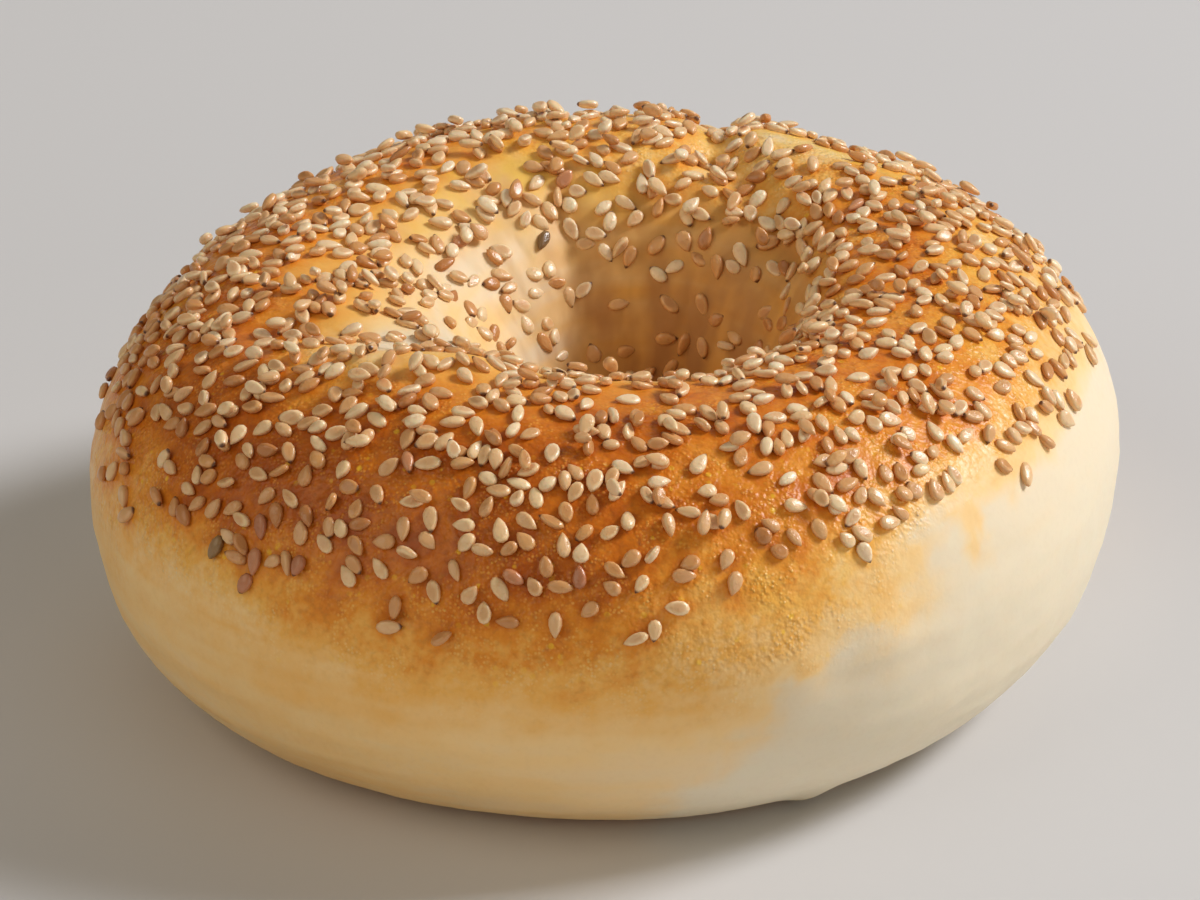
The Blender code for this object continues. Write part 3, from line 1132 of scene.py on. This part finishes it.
def paint(red: int, green: int, blue: int) -> tuple[float, float, float, float]:
    """Turn a colour in 0 to 255 as seen on a screen into the linear one that shaders take."""
    shares = [value / 255.0 for value in (red, green, blue)]
    return tuple(c / 12.92 if c <= 0.04045 else ((c + 0.055) / 1.055) ** 2.4 for c in shares) + (1.0,)


def new_material(name: str) -> tuple[Material, Sheet, Node]:
    """Make a material.

    Args:
        name: the material's name.

    Returns:
        The material, its tree to build in, and its Principled shader.
    """
    material = bpy.data.materials.new(name)
    material.use_nodes = True
    return material, Sheet(material.node_tree), material.node_tree.nodes["Principled BSDF"]


def soften(shader: Node, weight: float, reach: float) -> None:
    """Let a share of the light soak in, the red of it as far as reach."""
    feed(shader, {"Subsurface Weight": weight, "Subsurface Radius": (1.0, 0.55, 0.28),
                  "Subsurface Scale": reach})


def speckle_group() -> NodeTree:
    """Build the group for fine irregular specks, which crust and seeds share.

    Returns:
        A group with the inputs Scale and Amount, and the output Specks.
    """
    sheet = Group("Specks", "ShaderNodeTree")
    scale = sheet.entry("Scale", "Float", 1200.0)
    amount = sheet.entry("Amount", "Float", 0.5)
    place = sheet.value("ShaderNodeTexCoord", output="Object")
    sheet.exit("Specks", "Float", sheet.noise(place, scale, 3.0).rise(0.45, 0.75) * amount)
    return sheet.tree


@dataclass(frozen=True)
class CrustFinish:
    """The baked skin: pale dough where the oven hardly reached, gold to brown on top."""

    pale: tuple = paint(238, 221, 190)
    # White dough, its tint lightened partly as painted bounce light from the floor.
    raw: tuple = paint(235, 224, 197)
    # Painted shade: the dull tan that the hole's wall away from the key light darkens towards.
    hole_shade: tuple = paint(181, 128, 75)
    cream: tuple = paint(249, 211, 148)
    gold: tuple = paint(243, 183, 90)
    amber: tuple = paint(232, 149, 48)
    orange: tuple = paint(212, 119, 26)
    brown: tuple = paint(184, 91, 14)
    yellow: tuple = paint(248, 206, 74)
    yolk: tuple = paint(250, 204, 52)
    speck: tuple = paint(150, 92, 44)
    speck_scale: float = 1300.0
    bump_strength: float = 0.85
    bump_depth: float = 0.24 * MM
    marks: tuple[str, ...] = ("Baked", "Yellow", "Skin", "Glaze", "Raw", "Deep", "Sown")

    def group(self) -> NodeTree:
        """Build the crust's colour, roughness and relief.

        Returns:
            The group.
        """
        sheet = Group("Baked crust", "ShaderNodeTree")
        entries = [sheet.entry(name, "Float", 0.0) for name in (*self.marks, "Specks")]
        baked, yellow, skin, glaze, raw, deep, sown, specks = entries
        place = sheet.value("ShaderNodeTexCoord", output="Object")
        grain = sheet.noise(place, 900.0, 2.0, 0.6) - 0.5
        bubble = sheet.noise(place, 1900.0, 0.0) * skin * (0.25 + glaze * 0.9)
        granule, drawn = sheet.grains(place, 2500.0)
        glint = granule * glaze * drawn.rise(0.20, 0.80) * (0.6 + grain * 2.4).clamp(0.0, 1.4)
        drop, picked = sheet.grains(place, 1000.0)
        fleck = drop.rise(0.25, 0.6) * picked.rise(0.86, 0.94) * glaze * (0.8 + grain * 3.0).clamp()
        # Darker crust round the seeds: partly glaze gathered there, partly painted contact shade.
        toasted = (baked + skin * (grain * 0.40 + sown * 0.23 - 0.04) - glint * 0.50).clamp()
        colour = sheet.ramp(toasted, (0.0, self.pale), (0.16, self.cream), (0.38, self.gold),
                            (0.58, self.amber), (0.78, self.orange), (1.0, self.brown))
        # Tints in turn: gold glints, white dough (partly painted bounce light towards the foot), painted
        # shade deep in the hole, egg-wash yellow, yolk flecks and specks.
        tints = ((self.gold, (glint * 0.70).clamp()), (self.raw, raw * 0.80 * baked.rise(0.46, 0.16)),
                 (self.hole_shade, (deep * 0.66).clamp()), (self.yellow, yellow * 0.55), (self.yolk, fleck * 0.75),
                 (self.speck, specks * (0.03 + skin * baked * 0.34)))
        for tint, share in tints:
            colour = colour.tinted(tint, share)
        sheet.exit("Colour", "Color", colour)
        sheet.exit("Roughness", "Float", (0.52 - skin * 0.16 + grain * 0.16).clamp(0.2, 0.9))
        sheet.exit("Height", "Float", bubble * 0.9 + grain * (0.07 + skin * 0.75) + glint * 0.60)
        return sheet.tree

    def material(self, speckle: NodeTree) -> Material:
        """Make the crust's material.

        Args:
            speckle: the group for fine specks.

        Returns:
            The material.
        """
        material, sheet, shader = new_material("Baked crust")
        shares = {mark: sheet.attribute(mark.lower()) for mark in self.marks}
        shares["Specks"] = sheet.value("ShaderNodeGroup", {"Scale": self.speck_scale, "Amount": 1.0},
                                       node_tree=speckle)
        crust = place_node(sheet.tree, "ShaderNodeGroup", shares, node_tree=self.group())
        colour, roughness, height = (Field(socket) for socket in crust.outputs)
        normal = sheet.relief(height, self.bump_strength, self.bump_depth)
        feed(shader, {"Base Color": colour, "Roughness": roughness, "Normal": normal,
                      "Specular IOR Level": 0.30})
        soften(shader, 0.12, 1.6 * MM)
        return material


@dataclass(frozen=True)
class HullFinish:
    """A seed's skin, from its palest tone to its most toasted one."""

    name: str
    pale: tuple
    middle: tuple
    toasted: tuple
    tip: tuple = paint(88, 46, 26)
    speck_scale: float = 1500.0
    bump_strength: float = 0.35
    bump_depth: float = 0.12 * MM

    def material(self, speckle: NodeTree) -> Material:
        """Make the seeds' material.

        Args:
            speckle: the group for fine specks.

        Returns:
            The material.
        """
        material, sheet, shader = new_material(self.name)
        marks = ("tone", "tip", "along", "rim", "hollow")
        tone, tip, along, rim, hollow = (sheet.attribute(mark) for mark in marks)
        specks = sheet.value("ShaderNodeGroup", {"Scale": self.speck_scale, "Amount": 1.0}, node_tree=speckle)
        colour = sheet.ramp(tone, (0.0, self.pale), (0.5, self.middle), (1.0, self.toasted))
        # Toasted towards each seed's edge, partly its tan rim and partly painted contact shade where it meets
        # the crust; also darker in the sunk middle of hollow seeds and towards the pointed end.
        for share in (specks * 0.22, rim.rise(0.95, 0.30) * hollow * 1.2, rim.rise(0.84, 1.0) * 0.55,
                      along.rise(0.30, 0.95) * 0.25):
            colour = colour.tinted(self.toasted, share)
        colour = colour.tinted(self.tip, along.rise(0.66, 0.88) * (tip * 0.92))
        normal = sheet.relief(specks, self.bump_strength, self.bump_depth)
        feed(shader, {"Base Color": colour, "Normal": normal, "Roughness": 0.30, "Specular IOR Level": 0.58})
        soften(shader, 0.20, 0.8 * MM)
        return material


HULLS = {
    SeedKind.HULLED: HullFinish(
        "Hulled sesame", paint(255, 239, 206), paint(245, 213, 164), paint(214, 156, 98)),
    SeedKind.TOASTED: HullFinish(
        "Toasted sesame", paint(238, 194, 136), paint(222, 165, 102), paint(192, 128, 72)),
    SeedKind.DARK: HullFinish(
        "Reddish sesame", paint(224, 166, 116), paint(206, 142, 98), paint(184, 120, 84)),
    SeedKind.OLIVE: HullFinish(
        "Unhulled sesame", paint(196, 162, 112), paint(166, 132, 86), paint(116, 86, 54)),
}


# Studio

@dataclass(frozen=True)
class Lamp:
    """A soft square light that faces the bagel."""

    name: str
    place: Triple
    side: float
    watts: float
    colour: Triple

    def hang(self, aim: Vector) -> None:
        """Hang the light at its place.

        Args:
            aim: the point that it faces.
        """
        light = bpy.data.lights.new(self.name, "AREA")
        light.size = self.side
        light.energy = self.watts
        light.color = self.colour
        item = bpy.data.objects.new(self.name, light)
        item.location = self.place
        item.rotation_euler = (aim - Vector(self.place)).to_track_quat("-Z", "Y").to_euler()
        bpy.context.scene.collection.objects.link(item)


@dataclass(frozen=True)
class Studio:
    """The pale floor, the soft light from the back right, and the camera at the photo's angle."""

    camera_place: Triple = (0.0, -0.7505, 0.4190)
    camera_pitch: float = radians(27.84)
    camera_yaw: float = radians(0.09)
    camera_range: Pair = (0.01, 20.0)
    lens: float = 221.0
    floor_half: float = 3.0
    floor_colour: tuple = paint(210, 210, 212)
    aim: Triple = (0.0, 0.0, 0.02)
    sky_colour: tuple = (1.0, 0.92, 0.78, 1.0)
    sky_strength: float = 0.155
    lamps: tuple[Lamp, ...] = (
        Lamp("key", (1.47, 0.37, 1.21), 0.55, 33.2, (1.0, 0.99, 1.0)),
        Lamp("left", (-0.70, -0.40, 0.60), 0.80, 2.6, (1.0, 0.90, 0.73)),
        Lamp("front", (0.58, -0.80, 0.22), 0.80, 2.0, (1.0, 0.93, 0.84)),
        Lamp("back", (0.0, 0.80, 0.60), 0.80, 0.7, (1.0, 0.97, 0.93)))

    def build(self, shift: Vector) -> None:
        """Set up floor, lights and camera.

        Args:
            shift: how far the ring was moved to centre it.
        """
        self.floor()
        for lamp in self.lamps:
            lamp.hang(Vector(self.aim))
        self.sky()
        self.camera(shift)
        bpy.context.scene.view_settings.view_transform = "Standard"

    def floor(self) -> None:
        """Lay the floor."""
        half = self.floor_half
        corners = [(-half, -half, 0.0), (half, -half, 0.0), (half, half, 0.0), (-half, half, 0.0)]
        mesh = bpy.data.meshes.new("floor")
        mesh.from_pydata(corners, [], [(0, 1, 2, 3)])
        floor = bpy.data.objects.new("floor", mesh)
        bpy.context.scene.collection.objects.link(floor)
        material, _, shader = new_material("Pale board")
        feed(shader, {"Base Color": self.floor_colour, "Roughness": 0.7})
        mesh.materials.append(material)

    def sky(self) -> None:
        """Fill the room with even light."""
        world = bpy.data.worlds.new("room")
        world.use_nodes = True
        feed(world.node_tree.nodes["Background"], {0: self.sky_colour, 1: self.sky_strength})
        bpy.context.scene.world = world

    def camera(self, shift: Vector) -> None:
        """Set the camera at the photo's angle.

        Args:
            shift: how far the ring was moved to centre it.
        """
        data = bpy.data.cameras.new("camera")
        data.lens = self.lens
        data.clip_start, data.clip_end = self.camera_range
        camera = bpy.data.objects.new("camera", data)
        camera.location = Vector(self.camera_place) + shift
        camera.rotation_euler = (pi / 2.0 - self.camera_pitch, 0.0, self.camera_yaw)
        bpy.context.scene.collection.objects.link(camera)
        bpy.context.scene.camera = camera


def main() -> None:
    """Build the bagel's ring and seeds, dress them and set up the studio."""
    logging.basicConfig(level=logging.INFO, format="%(message)s")
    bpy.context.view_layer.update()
    speckle = speckle_group()
    ring = Ring()
    dough = ring.build(CrustFinish().material(speckle))
    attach(dough, BODY)
    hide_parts(NODE)
    LOG.info("%s: %d faces", dough.name, len(dough.data.polygons))
    sowing = Sowing()
    sowing.sow(dough)
    sowing.glaze_and_shade_round_seeds(dough)
    for kind in SeedKind:
        seeds = Seeds(kind).build(sowing.seeds, HULLS[kind].material(speckle))
        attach(seeds, BODY)
        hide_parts(NODE)
        LOG.info("%s: %d faces", seeds.name, len(seeds.data.polygons))
    Studio().build(ring.shift)


if __name__ == "__main__":
    main()
